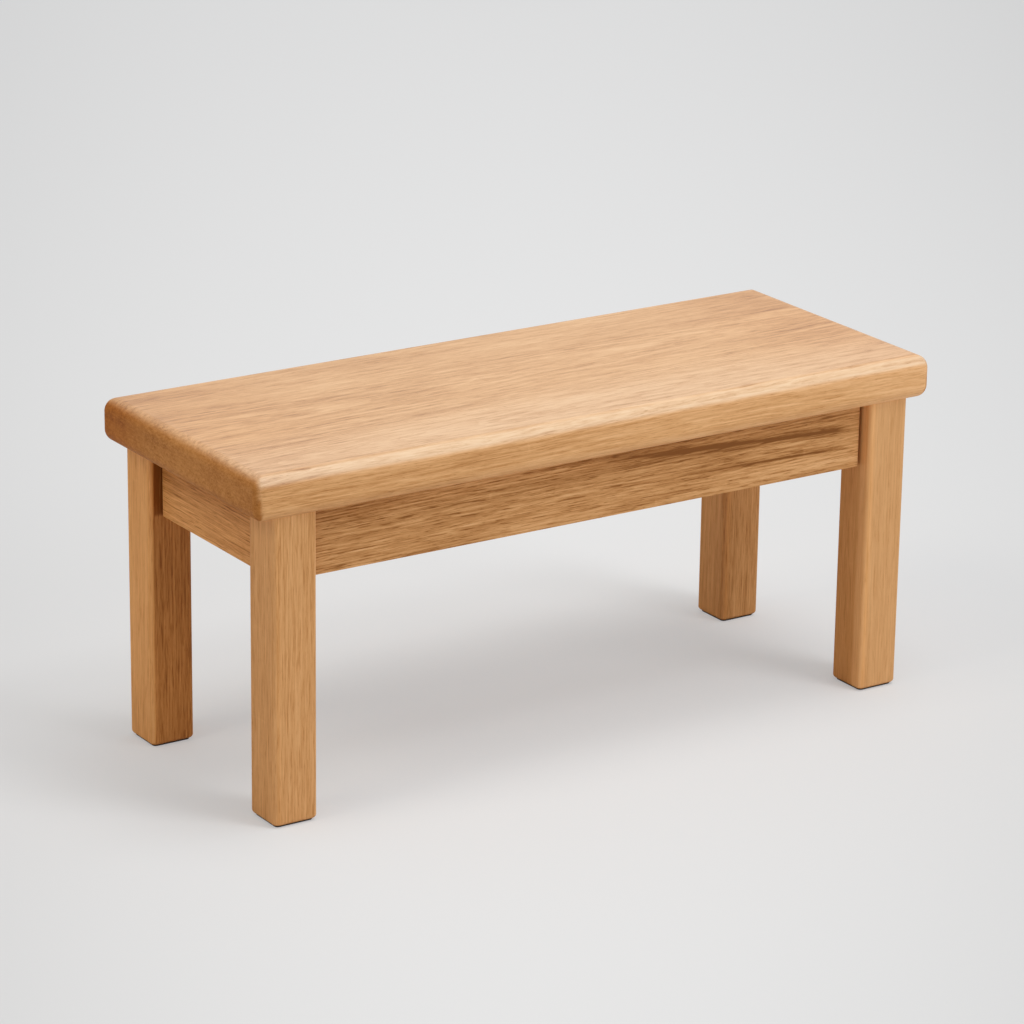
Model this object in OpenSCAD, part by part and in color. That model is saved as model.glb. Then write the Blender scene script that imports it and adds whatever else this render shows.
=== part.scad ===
// Solid oak bench: a thick edge-glued seat on four square legs, joined by four aprons.
// Millimetres. +X runs along the bench to its right end, +Y to its back, +Z up.
// The origin lies on the floor under the middle of the bench.

/* [Seat] */
// Length of the seat
seat_length = 1000; // [700:5:1400]
// Width of the seat, front to back
seat_width = 386; // [340:1:460]
// Thickness of the seat
seat_thickness = 57; // [42:1:70]
// Radius of the seat's upper edges
seat_top_r = 17.5; // [6:0.5:20]
// Radius of the seat's lower edges
seat_bottom_r = 16.5; // [6:0.5:20]
// Radius of the seat's corners, seen from above
seat_corner_r = 12; // [6:1:30]
// Width of the middle one of the seat's three boards
middle_board_w = 158; // [110:1:180]

/* [Legs] */
// Height of the seat above the floor
bench_height = 450; // [400:5:520]
// Side of a leg's square section
leg_size = 60; // [54:1:70]
// Radius of a leg's long edges
leg_edge_r = 6; // [2:0.5:8]
// Radius of the edge round a leg's foot
foot_edge_r = 5; // [1:0.5:6]
// How far the seat's ends stand out past the legs
end_overhang = 28; // [18:1:60]
// How far the seat's sides stand out past the legs
side_overhang = 10; // [4:1:25]

/* [Aprons] */
// Height of the aprons
apron_height = 85; // [82:1:120]
// Thickness of the aprons
apron_t = 22; // [20:1:26]
// How far the long aprons stand back from the legs' faces
long_setback = 16; // [12:1:26]
// How far the short aprons stand back from the legs' faces
short_setback = 16; // [12:1:26]
// Radius of the aprons' lower edges
apron_edge_r = 2; // [0.5:0.5:5]
// Width of the shadow gap between an apron and a leg
reveal_w = 5; // [1:0.5:8]
// Depth of that shadow gap
reveal_depth = 7; // [2:0.5:9]

/* [Dowels] */
// Diameter of the dowels between aprons and legs
dowel_d = 10; // [8:1:11]
// Length of a dowel in the leg
dowel_in_leg = 20; // [14:1:24]
// Length of a dowel in the apron
dowel_in_apron = 20; // [14:1:22]

/* [Corner braces] */
// Thickness of a corner brace, square to its long faces
brace_t = 28; // [25:1:34]
// Height of a corner brace
brace_height = 66; // [64:1:80]
// Gap between a corner brace and the leg
brace_gap = 3; // [1.5:0.5:6]
// Width of the blunt tips of a corner brace
brace_tip = 4; // [2:0.5:6]
// Width of the flat on a leg's inner edge that faces the brace
leg_flat = 12; // [10:0.5:16]

/* [Hanger bolts] */
// Diameter of a hanger bolt
bolt_d = 8; // [6:0.5:8.5]
// Length of a hanger bolt in the leg
bolt_bite = 36; // [24:1:42]
// Length of a hanger bolt past its nut
bolt_tail = 5; // [2:0.5:8]
// Diameter of a washer
washer_d = 22; // [18:1:24]
// Thickness of a washer
washer_t = 1.6; // [1:0.1:2.5]
// Width of a nut across its flats
nut_flats = 13; // [12:0.5:14]
// Height of a nut
nut_h = 6.5; // [4:0.5:8]

/* [Screws] */
// Diameter of the wood screws
screw_d = 4.5; // [3.5:0.1:5]
// Diameter of the screws' heads
screw_head_d = 9; // [8:0.1:9.5]
// Height of the screws' heads
screw_head_h = 3; // [2:0.1:3.5]
// Wood of the brace under a screw's head
brace_under_head = 12; // [8:0.5:13]
// Length of a brace screw in the apron
brace_screw_bite = 17; // [10:1:18]
// Wood of a top button under its screw's head
button_under_head = 18; // [12:0.5:19]
// Length of a button screw in the seat
button_screw_bite = 17; // [10:1:25]

/* [Top buttons] */
// Width of a top button, along its apron
button_w = 38; // [30:1:44]
// Reach of a top button out from its apron
button_reach = 30; // [24:1:36]
// Height of a top button
button_h = 23; // [20:1:26]
// Height of a button's tongue
tongue_h = 10; // [8:0.5:11]
// Reach of a button's tongue into its apron
tongue_reach = 8; // [6:0.5:9]
// Wood of the apron above a tongue
apron_lip = 12; // [8:0.5:14]
// Distance from a leg to the nearest top button on a long apron
button_end_gap = 142; // [100:1:190]

/* [Foot pads] */
// Thickness of a foot pad
pad_t = 2; // [1.5:0.5:5]
// How far a foot pad stands in from the leg's faces
pad_inset = 4; // [4:0.5:8]
// Radius of a foot pad's corners
pad_corner_r = 5; // [1:0.5:8]

/* [Hidden] */

$fn = 64;

// Play round a dowel, bolt or screw in its hole, on the radius
fit_play = 0.1;
// Free depth past the end of a dowel, bolt or screw
end_play = 0.5;
// Least wood between a dowel's hole and the next hole above or below it
hole_wall = 2.8;
// Wood of a brace above and below the heads of its screws
brace_edge = 6;
// Play round a hanger bolt in its brace, on the radius
brace_play = 0.5;
// Play round a screw's head in its counterbore, on the radius
head_play = 0.75;
// Side and bottom play of a tongue in its mortise
tongue_side_play = 2;
tongue_bottom_play = 0.5;
// Depth of a mortise past its tongue
tongue_end_play = 2;
// Taper at the ends of dowels, bolts and screws
end_taper = 1;
// Overshoot of a cut past the surface that it opens
over = 1;

oak_top = [0.86, 0.68, 0.48];
oak_frame = [0.76, 0.57, 0.37];
beech = [0.85, 0.72, 0.56];
zinc = [0.74, 0.75, 0.76];
dark_felt = [0.22, 0.19, 0.17];

// Heights above the floor
seat_z = bench_height - seat_thickness;
apron_z = seat_z - apron_height;
joint_z = apron_z + apron_height / 2;
dowel_rise_short = (bolt_d + dowel_d) / 2 + hole_wall;
dowel_rise_long = dowel_rise_short + dowel_d + hole_wall;

// Outer and inner faces of the legs, measured from the middle of the bench
leg_out_x = seat_length / 2 - end_overhang;
leg_out_y = seat_width / 2 - side_overhang;
leg_in_x = leg_out_x - leg_size;
leg_in_y = leg_out_y - leg_size;

// Outer and inner faces of the aprons, and the line of their dowels
long_out_y = leg_out_y - long_setback;
long_in_y = long_out_y - apron_t;
short_out_x = leg_out_x - short_setback;
short_in_x = short_out_x - apron_t;
dowel_inset = (apron_t + reveal_depth) / 2;

// A corner's fittings are set out from the line where the inner faces of two aprons would meet.
// The leg's inner edge lies this far from it along the long and the short apron.
leg_edge_u = short_in_x - leg_in_x;
leg_edge_v = long_in_y - leg_in_y;

// Faces of a brace along the bolt, from the leg's inner edge, and their reach along the aprons
brace_near = brace_gap - leg_flat / 2;
brace_far = brace_near + brace_t;
brace_reach_near = leg_edge_u + leg_edge_v + brace_near * sqrt(2);
brace_reach_far = brace_reach_near + brace_t * sqrt(2);
brace_screw_rise = (brace_height - screw_head_d) / 2 - brace_edge;

// The brace's screws stand just past the ends of the dowels in the aprons
brace_screw_reach = max(leg_edge_u, leg_edge_v) + dowel_in_apron + end_play + hole_wall + screw_d / 2;

// Buttons hang from the seat, and their tongues hook under the aprons' lips
button_spacing = leg_in_x - button_end_gap;
tongue_top = seat_z - apron_lip;
button_z = seat_z - button_h;
button_pocket = button_h - button_under_head;

// One quarter of a disc, in the first quadrant
module quarter_disc(r) {
  if (r > 0) intersection() {
    circle(r);
    square([r, r]);
  }
}

// Rectangle standing on the axis, with rounded upper and lower corners
module eased_face(w, h, top_r, bottom_r) {
  translate([-w / 2, bottom_r]) square([w, h - top_r - bottom_r]);
  if (top_r > 0) translate([-w / 2 + top_r, h - top_r]) square([w - 2 * top_r, top_r]);
  if (bottom_r > 0) translate([-w / 2 + bottom_r, 0]) square([w - 2 * bottom_r, bottom_r]);
  for (side = [0, 1]) mirror([side, 0]) {
    translate([w / 2 - top_r, h - top_r]) quarter_disc(top_r);
    translate([w / 2 - bottom_r, bottom_r]) mirror([0, 1]) quarter_disc(bottom_r);
  }
}

// Block on the floor plane with eased upper and lower edges and rounded corners in plan
module eased_block(l, w, h, corner_r, top_r, bottom_r) {
  reach = 2 * max(top_r, bottom_r, corner_r) + corner_r;
  difference() {
    intersection() {
      rotate([90, 0, 90]) linear_extrude(l, center = true) eased_face(w, h, top_r, bottom_r);
      rotate([90, 0, 0]) linear_extrude(w, center = true) eased_face(l, h, top_r, bottom_r);
    }
    for (sx = [-1, 1], sy = [-1, 1])
      translate([sx * l / 2, sy * w / 2, h / 2]) cube([2 * corner_r, 2 * corner_r, h + 2 * over], center = true);
  }
  for (sx = [0, 1], sy = [0, 1])
    mirror([sx, 0, 0]) mirror([0, sy, 0])
      translate([l / 2 - corner_r, w / 2 - corner_r, 0])
        rotate_extrude(angle = 90) intersection() {
          square([corner_r, h]);
          translate([corner_r - reach / 2, 0]) eased_face(reach, h, top_r, bottom_r);
        }
}

// Square with rounded corners
module round_square(side, r) {
  square([side, side - 2 * r], center = true);
  square([side - 2 * r, side], center = true);
  for (quarter = [0:3]) rotate(90 * quarter) translate([side / 2 - r, side / 2 - r]) quarter_disc(r);
}

// Pin standing on the origin, with both ends tapered
module pin(d, length) {
  rotate_extrude() polygon([
    [0, 0], [d / 2 - end_taper, 0], [d / 2, end_taper],
    [d / 2, length - end_taper], [d / 2 - end_taper, length], [0, length]
  ]);
}

// Hole for such a pin, opened past the surface at the origin
module pin_hole(d, length) {
  translate([0, 0, -over]) cylinder(d = d + 2 * fit_play, h = length + end_play + over);
}

// Round-headed wood screw: the head's flat underside is at the origin, the shank points up
module wood_screw(length) {
  tip = 1.5 * screw_d;
  crown = screw_head_h / 3;
  rotate_extrude() polygon([
    [0, -screw_head_h], [screw_head_d / 2 - crown, -screw_head_h],
    [screw_head_d / 2, crown - screw_head_h], [screw_head_d / 2, 0], [screw_d / 2, 0],
    [screw_d / 2, length - tip], [screw_d / 8, length], [0, length]
  ]);
}

// Carries a corner's fittings to one corner. Their first axis runs along the long apron and
// their second along the short apron, both into the frame, at the middle height of the aprons.
module at_corner(sx, sy) {
  translate([sx * short_in_x, sy * long_in_y, joint_z])
    mirror([sx > 0 ? 1 : 0, 0, 0]) mirror([0, sy > 0 ? 1 : 0, 0]) children();
}

// Turns a fitting that stands up so that it points from the leg's inner edge into the frame
module along_bolt() {
  translate([leg_edge_u, leg_edge_v, 0]) rotate([0, 0, 45]) rotate([0, 90, 0]) children();
}

// Places of the four screws of a brace, each pointing square into its apron
module at_brace_screws() {
  for (rise = [-1, 1]) {
    translate([brace_screw_reach, brace_under_head, rise * brace_screw_rise]) rotate([90, 0, 0]) children();
    translate([brace_under_head, brace_screw_reach, rise * brace_screw_rise]) rotate([0, -90, 0]) children();
  }
}

// Dowels between the long aprons and one leg, pointing from the apron's end into the leg
module at_long_dowels(sx, sy) {
  for (rise = [-1, 1])
    translate([sx * leg_in_x, sy * (long_out_y - dowel_inset), joint_z + rise * dowel_rise_long])
      rotate([0, sx * 90, 0]) children();
}

// Dowels between the short aprons and one leg, pointing from the apron's end into the leg
module at_short_dowels(sx, sy) {
  for (rise = [-1, 1])
    translate([sx * (short_out_x - dowel_inset), sy * leg_in_y, joint_z + rise * dowel_rise_short])
      rotate([-sy * 90, 0, 0]) children();
}

// Top buttons: the first axis points out of the apron's inner face, the origin is on that face
module at_long_button(place, sy) {
  translate([place * button_spacing, sy * long_in_y, 0]) rotate([0, 0, -sy * 90]) children();
}

module at_end_button(sx) {
  translate([sx * short_in_x, 0, 0]) rotate([0, 0, sx > 0 ? 180 : 0]) children();
}

module tongue_mortise() {
  depth = tongue_reach + tongue_end_play;
  width = button_w + 2 * tongue_side_play;
  height = tongue_h + tongue_bottom_play;
  translate([-depth, -width / 2, tongue_top - height]) cube([depth + over, width, height]);
}

module button_screw_place() {
  translate([button_reach / 2, 0, button_z + button_pocket]) children();
}

module seat_blank() {
  translate([0, 0, seat_z])
    eased_block(seat_length, seat_width, seat_thickness, seat_corner_r, seat_top_r, seat_bottom_r);
}

module button_pilot() {
  button_screw_place() pin_hole(screw_d, button_under_head + button_screw_bite);
}

// One of the seat's boards, between two lines across its width
module seat_board(y0, y1) {
  color(oak_top) difference() {
    intersection() {
      seat_blank();
      translate([-seat_length, y0, seat_z - over]) cube([2 * seat_length, y1 - y0, seat_thickness + 2 * over]);
    }
    for (place = [-1:1], sy = [-1, 1]) at_long_button(place, sy) button_pilot();
    for (sx = [-1, 1]) at_end_button(sx) button_pilot();
  }
}

module leg(sx, sy) {
  color(oak_frame) difference() {
    translate([sx * (leg_in_x + leg_size / 2), sy * (leg_in_y + leg_size / 2), pad_t])
      eased_block(leg_size, leg_size, seat_z - pad_t, leg_edge_r, 0, foot_edge_r);
    at_corner(sx, sy) along_bolt() {
      translate([0, 0, -leg_flat / 2]) pin_hole_down(bolt_d, bolt_bite);
      translate([-(apron_height + 2 * over) / 2, -leg_size / 2, -leg_flat / 2])
        cube([apron_height + 2 * over, leg_size, leg_size]);
    }
    at_long_dowels(sx, sy) pin_hole(dowel_d, dowel_in_leg);
    at_short_dowels(sx, sy) pin_hole(dowel_d, dowel_in_leg);
  }
}

// Hole that runs down from the origin
module pin_hole_down(d, length) {
  mirror([0, 0, 1]) pin_hole(d, length);
}

// Plain apron along the first axis, its outer face on the side of the negative second axis
module apron_blank(length) {
  difference() {
    rotate([90, 0, 90]) linear_extrude(length, center = true) eased_face(apron_t, apron_height, 0, apron_edge_r);
    for (side = [-1, 1])
      translate([side * length / 2, -apron_t / 2, apron_height / 2])
        cube([2 * reveal_w, 2 * reveal_depth, apron_height + 2 * over], center = true);
  }
}

module long_apron(sy) {
  color(oak_frame) difference() {
    translate([0, sy * (long_out_y + long_in_y) / 2, apron_z])
      rotate([0, 0, sy > 0 ? 180 : 0]) apron_blank(2 * leg_in_x);
    for (sx = [-1, 1]) {
      at_long_dowels(sx, sy) pin_hole_down(dowel_d, dowel_in_apron);
      at_corner(sx, sy) at_brace_screws() pin_hole(screw_d, brace_under_head + brace_screw_bite);
    }
    for (place = [-1:1]) at_long_button(place, sy) tongue_mortise();
  }
}

module short_apron(sx) {
  color(oak_frame) difference() {
    translate([sx * (short_out_x + short_in_x) / 2, 0, apron_z])
      rotate([0, 0, sx * 90]) apron_blank(2 * leg_in_y);
    for (sy = [-1, 1]) {
      at_short_dowels(sx, sy) pin_hole_down(dowel_d, dowel_in_apron);
      at_corner(sx, sy) at_brace_screws() pin_hole(screw_d, brace_under_head + brace_screw_bite);
    }
    at_end_button(sx) tongue_mortise();
  }
}

module corner_brace(sx, sy) {
  near = brace_reach_near;
  far = brace_reach_far;
  tip = brace_tip;
  color(beech) at_corner(sx, sy) difference() {
    linear_extrude(brace_height, center = true)
      polygon([[near, 0], [far - tip, 0], [far - tip, tip], [tip, far - tip], [0, far - tip], [0, near]]);
    along_bolt() cylinder(d = bolt_d + 2 * brace_play, h = 4 * brace_t, center = true);
    at_brace_screws() {
      cylinder(d = screw_d + 2 * fit_play, h = 4 * brace_under_head, center = true);
      mirror([0, 0, 1]) cylinder(d = screw_head_d + 2 * head_play, h = 2 * brace_t);
    }
  }
}

module top_button() {
  color(beech) difference() {
    union() {
      translate([0, -button_w / 2, button_z]) cube([button_reach, button_w, button_h]);
      translate([-tongue_reach, -button_w / 2, tongue_top - tongue_h])
        cube([tongue_reach + over, button_w, tongue_h]);
    }
    button_screw_place() {
      cylinder(d = screw_d + 2 * fit_play, h = 2 * button_h);
      mirror([0, 0, 1]) cylinder(d = screw_head_d + 2 * head_play, h = button_h);
    }
  }
}

module foot_pad(sx, sy) {
  color(dark_felt)
    translate([sx * (leg_in_x + leg_size / 2), sy * (leg_in_y + leg_size / 2), 0])
      linear_extrude(pad_t) round_square(leg_size - 2 * pad_inset, pad_corner_r);
}

module hanger_bolts() {
  length = bolt_bite + brace_gap + brace_t + washer_t + nut_h + bolt_tail;
  color(zinc) for (sx = [-1, 1], sy = [-1, 1])
    at_corner(sx, sy) along_bolt() translate([0, 0, -leg_flat / 2 - bolt_bite]) pin(bolt_d, length);
}

module hanger_washers() {
  color(zinc) for (sx = [-1, 1], sy = [-1, 1])
    at_corner(sx, sy) along_bolt() translate([0, 0, brace_far]) difference() {
      cylinder(d = washer_d, h = washer_t);
      translate([0, 0, -over]) cylinder(d = bolt_d + 2 * brace_play, h = washer_t + 2 * over);
    }
}

// Hexagonal nut with both rims bevelled
module nut() {
  corner_d = nut_flats / cos(30);
  bevel = (corner_d - nut_flats) / 4;
  difference() {
    intersection() {
      cylinder(d = corner_d, h = nut_h, $fn = 6);
      rotate_extrude() polygon([
        [0, 0], [corner_d / 2 - 2 * bevel, 0], [corner_d / 2, bevel],
        [corner_d / 2, nut_h - bevel], [corner_d / 2 - 2 * bevel, nut_h], [0, nut_h]
      ]);
    }
    translate([0, 0, -over]) cylinder(d = bolt_d + 2 * fit_play, h = nut_h + 2 * over);
  }
}

module hanger_nuts() {
  color(zinc) for (sx = [-1, 1], sy = [-1, 1])
    at_corner(sx, sy) along_bolt() translate([0, 0, brace_far + washer_t]) nut();
}

module apron_dowels() {
  length = dowel_in_leg + dowel_in_apron;
  color(beech) for (sx = [-1, 1], sy = [-1, 1]) {
    at_long_dowels(sx, sy) translate([0, 0, -dowel_in_apron]) pin(dowel_d, length);
    at_short_dowels(sx, sy) translate([0, 0, -dowel_in_apron]) pin(dowel_d, length);
  }
}

module brace_screws() {
  color(zinc) for (sx = [-1, 1], sy = [-1, 1])
    at_corner(sx, sy) at_brace_screws() wood_screw(brace_under_head + brace_screw_bite);
}

module button_screws() {
  length = button_under_head + button_screw_bite;
  color(zinc) {
    for (place = [-1:1], sy = [-1, 1]) at_long_button(place, sy) button_screw_place() wood_screw(length);
    for (sx = [-1, 1]) at_end_button(sx) button_screw_place() wood_screw(length);
  }
}

seat_board(-seat_width, -middle_board_w / 2);  // seat_board_front
seat_board(-middle_board_w / 2, middle_board_w / 2);  // seat_board_middle
seat_board(middle_board_w / 2, seat_width);  // seat_board_rear
leg(-1, -1);  // front_left_leg
leg(1, -1);  // front_right_leg
leg(-1, 1);  // rear_left_leg
leg(1, 1);  // rear_right_leg
long_apron(-1);  // front_apron
long_apron(1);  // rear_apron
short_apron(-1);  // left_apron
short_apron(1);  // right_apron
corner_brace(-1, -1);  // front_left_corner_brace
corner_brace(1, -1);  // front_right_corner_brace
corner_brace(-1, 1);  // rear_left_corner_brace
corner_brace(1, 1);  // rear_right_corner_brace
at_long_button(-1, -1) top_button();  // front_left_top_button
at_long_button(0, -1) top_button();  // front_middle_top_button
at_long_button(1, -1) top_button();  // front_right_top_button
at_long_button(-1, 1) top_button();  // rear_left_top_button
at_long_button(0, 1) top_button();  // rear_middle_top_button
at_long_button(1, 1) top_button();  // rear_right_top_button
at_end_button(-1) top_button();  // left_end_top_button
at_end_button(1) top_button();  // right_end_top_button
foot_pad(-1, -1);  // front_left_foot_pad
foot_pad(1, -1);  // front_right_foot_pad
foot_pad(-1, 1);  // rear_left_foot_pad
foot_pad(1, 1);  // rear_right_foot_pad
hanger_bolts();
hanger_washers();
hanger_nuts();
apron_dowels();
brace_screws();
button_screws();
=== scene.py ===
"""Solid oak bench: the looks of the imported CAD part.

Lengths in this file are millimetres until a mesh is finished, which is where they become metres.
+X runs along the bench to its right end, +Y to its back, +Z up, and the origin lies on the floor.
"""

import math

import bmesh
import bpy
from mathutils import Matrix, Vector, noise


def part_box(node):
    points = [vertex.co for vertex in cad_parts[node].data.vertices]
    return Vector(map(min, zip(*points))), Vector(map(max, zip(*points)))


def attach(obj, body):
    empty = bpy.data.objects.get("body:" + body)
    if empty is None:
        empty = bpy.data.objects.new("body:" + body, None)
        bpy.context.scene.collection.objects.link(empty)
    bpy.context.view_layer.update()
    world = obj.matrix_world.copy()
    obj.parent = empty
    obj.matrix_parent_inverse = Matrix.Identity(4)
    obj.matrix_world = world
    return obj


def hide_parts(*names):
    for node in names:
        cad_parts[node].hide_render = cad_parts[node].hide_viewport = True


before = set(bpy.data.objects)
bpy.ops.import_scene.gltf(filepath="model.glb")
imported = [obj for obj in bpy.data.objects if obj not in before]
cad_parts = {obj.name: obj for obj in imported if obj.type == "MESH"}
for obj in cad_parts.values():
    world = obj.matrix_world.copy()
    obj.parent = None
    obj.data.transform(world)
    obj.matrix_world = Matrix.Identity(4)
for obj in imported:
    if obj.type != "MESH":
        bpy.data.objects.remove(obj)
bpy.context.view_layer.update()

MM = 0.001
SIDES = (-1, 1)


# Node trees, for shaders and for geometry

def math_method(operation, reflected=False):
    """A method that adds a Math node. Reflected, its own value comes last."""
    def method(self, *others):
        values = (*others, self) if reflected else (self, *others)
        return self.tree.add("ShaderNodeMath", {"operation": operation}, dict(enumerate(values)))
    return method


class Num:
    """A value on a node's socket. Arithmetic on it adds Math nodes."""

    __add__, __radd__ = math_method("ADD"), math_method("ADD", True)
    __sub__, __rsub__ = math_method("SUBTRACT"), math_method("SUBTRACT", True)
    __mul__, __rmul__ = math_method("MULTIPLY"), math_method("MULTIPLY", True)
    __truediv__, __rtruediv__ = math_method("DIVIDE"), math_method("DIVIDE", True)
    __abs__ = math_method("ABSOLUTE")
    least, most, exceeds = math_method("MINIMUM"), math_method("MAXIMUM"), math_method("GREATER_THAN")
    root, fraction = math_method("SQRT"), math_method("FRACT")
    cosine, sine = math_method("COSINE"), math_method("SINE")

    def __init__(self, tree, socket):
        self.tree = tree
        self.socket = socket

    def rise(self, low, high, to_low=0.0, to_high=1.0):
        """A smooth step of this value from low to high."""
        values = {0: self, 1: low, 2: high, 3: to_low, 4: to_high}
        return self.tree.add("ShaderNodeMapRange", {"interpolation_type": "SMOOTHSTEP"}, values)

    def bell(self, centre, width):
        """1 at the centre, and about a third of that a width away from it."""
        away = (self - centre) / width
        return 1.0 / (1.0 + away * away * 2.0)


class Tree:
    """Adds nodes to one node tree."""

    def __init__(self, nodes):
        self.nodes = nodes

    def add(self, kind, settings=None, values=None, out=0):
        """Adds one node: its settings first, then the values or links of its sockets."""
        node = self.nodes.nodes.new(kind)
        for name, setting in (settings or {}).items():
            if name == "stops":
                self.set_stops(node.color_ramp, setting)
            else:
                setattr(node, name, setting)
        for name, value in (values or {}).items():
            socket = node.inputs[name]
            if isinstance(value, Num):
                self.nodes.links.new(value.socket, socket)
            else:
                socket.default_value = value
        return Num(self, node.outputs[out])

    @staticmethod
    def set_stops(ramp, stops):
        first, last = ramp.elements[0], ramp.elements[1]
        first.position, last.position = stops[0][0], stops[-1][0]
        first.color, last.color = (*stops[0][1], 1.0), (*stops[-1][1], 1.0)
        for position, shade in stops[1:-1]:
            ramp.elements.new(position).color = (*shade, 1.0)

    def vector(self, operation, *values, out=0):
        return self.add("ShaderNodeVectorMath", {"operation": operation}, dict(enumerate(values)), out)

    def join(self, x, y, z):
        return self.add("ShaderNodeCombineXYZ", None, {0: x, 1: y, 2: z})

    def split(self, vector):
        node = self.add("ShaderNodeSeparateXYZ", None, {0: vector}).socket.node
        return [Num(self, socket) for socket in node.outputs]

    def mix(self, share, first, second, blend="MIX"):
        """A colour between two others."""
        settings = {"data_type": "RGBA", "blend_type": blend}
        return self.add("ShaderNodeMix", settings, {0: share, 6: first, 7: second}, 2)


def colour(red, green, blue):
    return (red, green, blue, 1.0)


# Finishes

LACQUER_ROUGHNESS = 0.32


class Finish(Tree):
    """One material, with the nodes that every finish here starts from."""

    def __init__(self, name):
        self.material = bpy.data.materials.new(name)
        self.material.use_nodes = True
        super().__init__(self.material.node_tree)
        self.shader = self.nodes.nodes["Principled BSDF"]
        node = self.add("ShaderNodeTexCoord", out=3).socket.node
        self.point = Num(self, node.outputs["Object"])
        self.normal = Num(self, node.outputs["Normal"])

    def noise(self, point, scales, shift=0.0, detail=2.0, roughness=0.5):
        """Noise about 0, from -0.5 to 0.5, with a scale of its own along each axis, per metre."""
        offset = (shift * 3.1, shift * 1.7, shift * 2.3)
        stretched = self.vector("MULTIPLY_ADD", point, scales, offset)
        values = {"Vector": stretched, "Scale": 1.0, "Detail": detail, "Roughness": roughness}
        return self.add("ShaderNodeTexNoise", None, values) - 0.5

    def wire(self, base, roughness, height, depth, strength=1.0, metallic=0.0, specular=0.5, coat=None):
        """Links colour, roughness, relief and lacquer to the shader. The relief's depth is in metres."""
        bump = self.add("ShaderNodeBump", None, {"Strength": strength, "Distance": depth, "Height": height})
        linked = {"Base Color": base, "Roughness": roughness, "Normal": bump}
        if coat is not None:
            linked["Coat Weight"] = coat
        for label, value in linked.items():
            self.nodes.links.new(value.socket, self.shader.inputs[label])
        self.shader.inputs["Coat Roughness"].default_value = LACQUER_ROUGHNESS
        self.shader.inputs["Metallic"].default_value = metallic
        self.shader.inputs["Specular IOR Level"].default_value = specular
        return self.material


def turned_to_grain(paint, grain):
    """Object coordinates as (along the grain, across, across), and the same for the normal.

    grain is the axis that it runs along, or its angle from +X in degrees on a level piece.
    """
    if grain in ("x", "y", "z"):
        order = {"x": (0, 1, 2), "y": (1, 2, 0), "z": (2, 0, 1)}[grain]
        turned = []
        for vector in (paint.point, paint.normal):
            parts = paint.split(vector)
            turned.append(paint.join(*[parts[i] for i in order]))
        return turned
    turn = (0.0, 0.0, -math.radians(grain))
    mapped = []
    for vector in (paint.point, paint.normal):
        values = {"Vector": vector, "Rotation": turn}
        mapped.append(paint.add("ShaderNodeMapping", {"vector_type": "POINT"}, values))
    return mapped


# Oiled oak from its darkest tone to its palest, and the colours that the tones are mixed with
OAK_TONES = (
    (0.00, (0.240, 0.086, 0.018)),
    (0.25, (0.430, 0.189, 0.057)),
    (0.50, (0.605, 0.303, 0.113)),
    (0.75, (0.750, 0.413, 0.180)),
    (1.00, (0.870, 0.518, 0.258)),
)
OIL_AND_SHADE_WARMTH = colour(1.0, 0.80, 0.50)
END_GRAIN_AND_SHADE = colour(0.68, 0.52, 0.31)
EDGE_WEAR_AND_HIGHLIGHT = colour(0.88, 0.60, 0.36)
SEAT_PAINTED_SHEEN = colour(0.79, 0.61, 0.385)
SEAT_PAINTED_HIGHLIGHT = colour(0.86, 0.74, 0.59)


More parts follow.
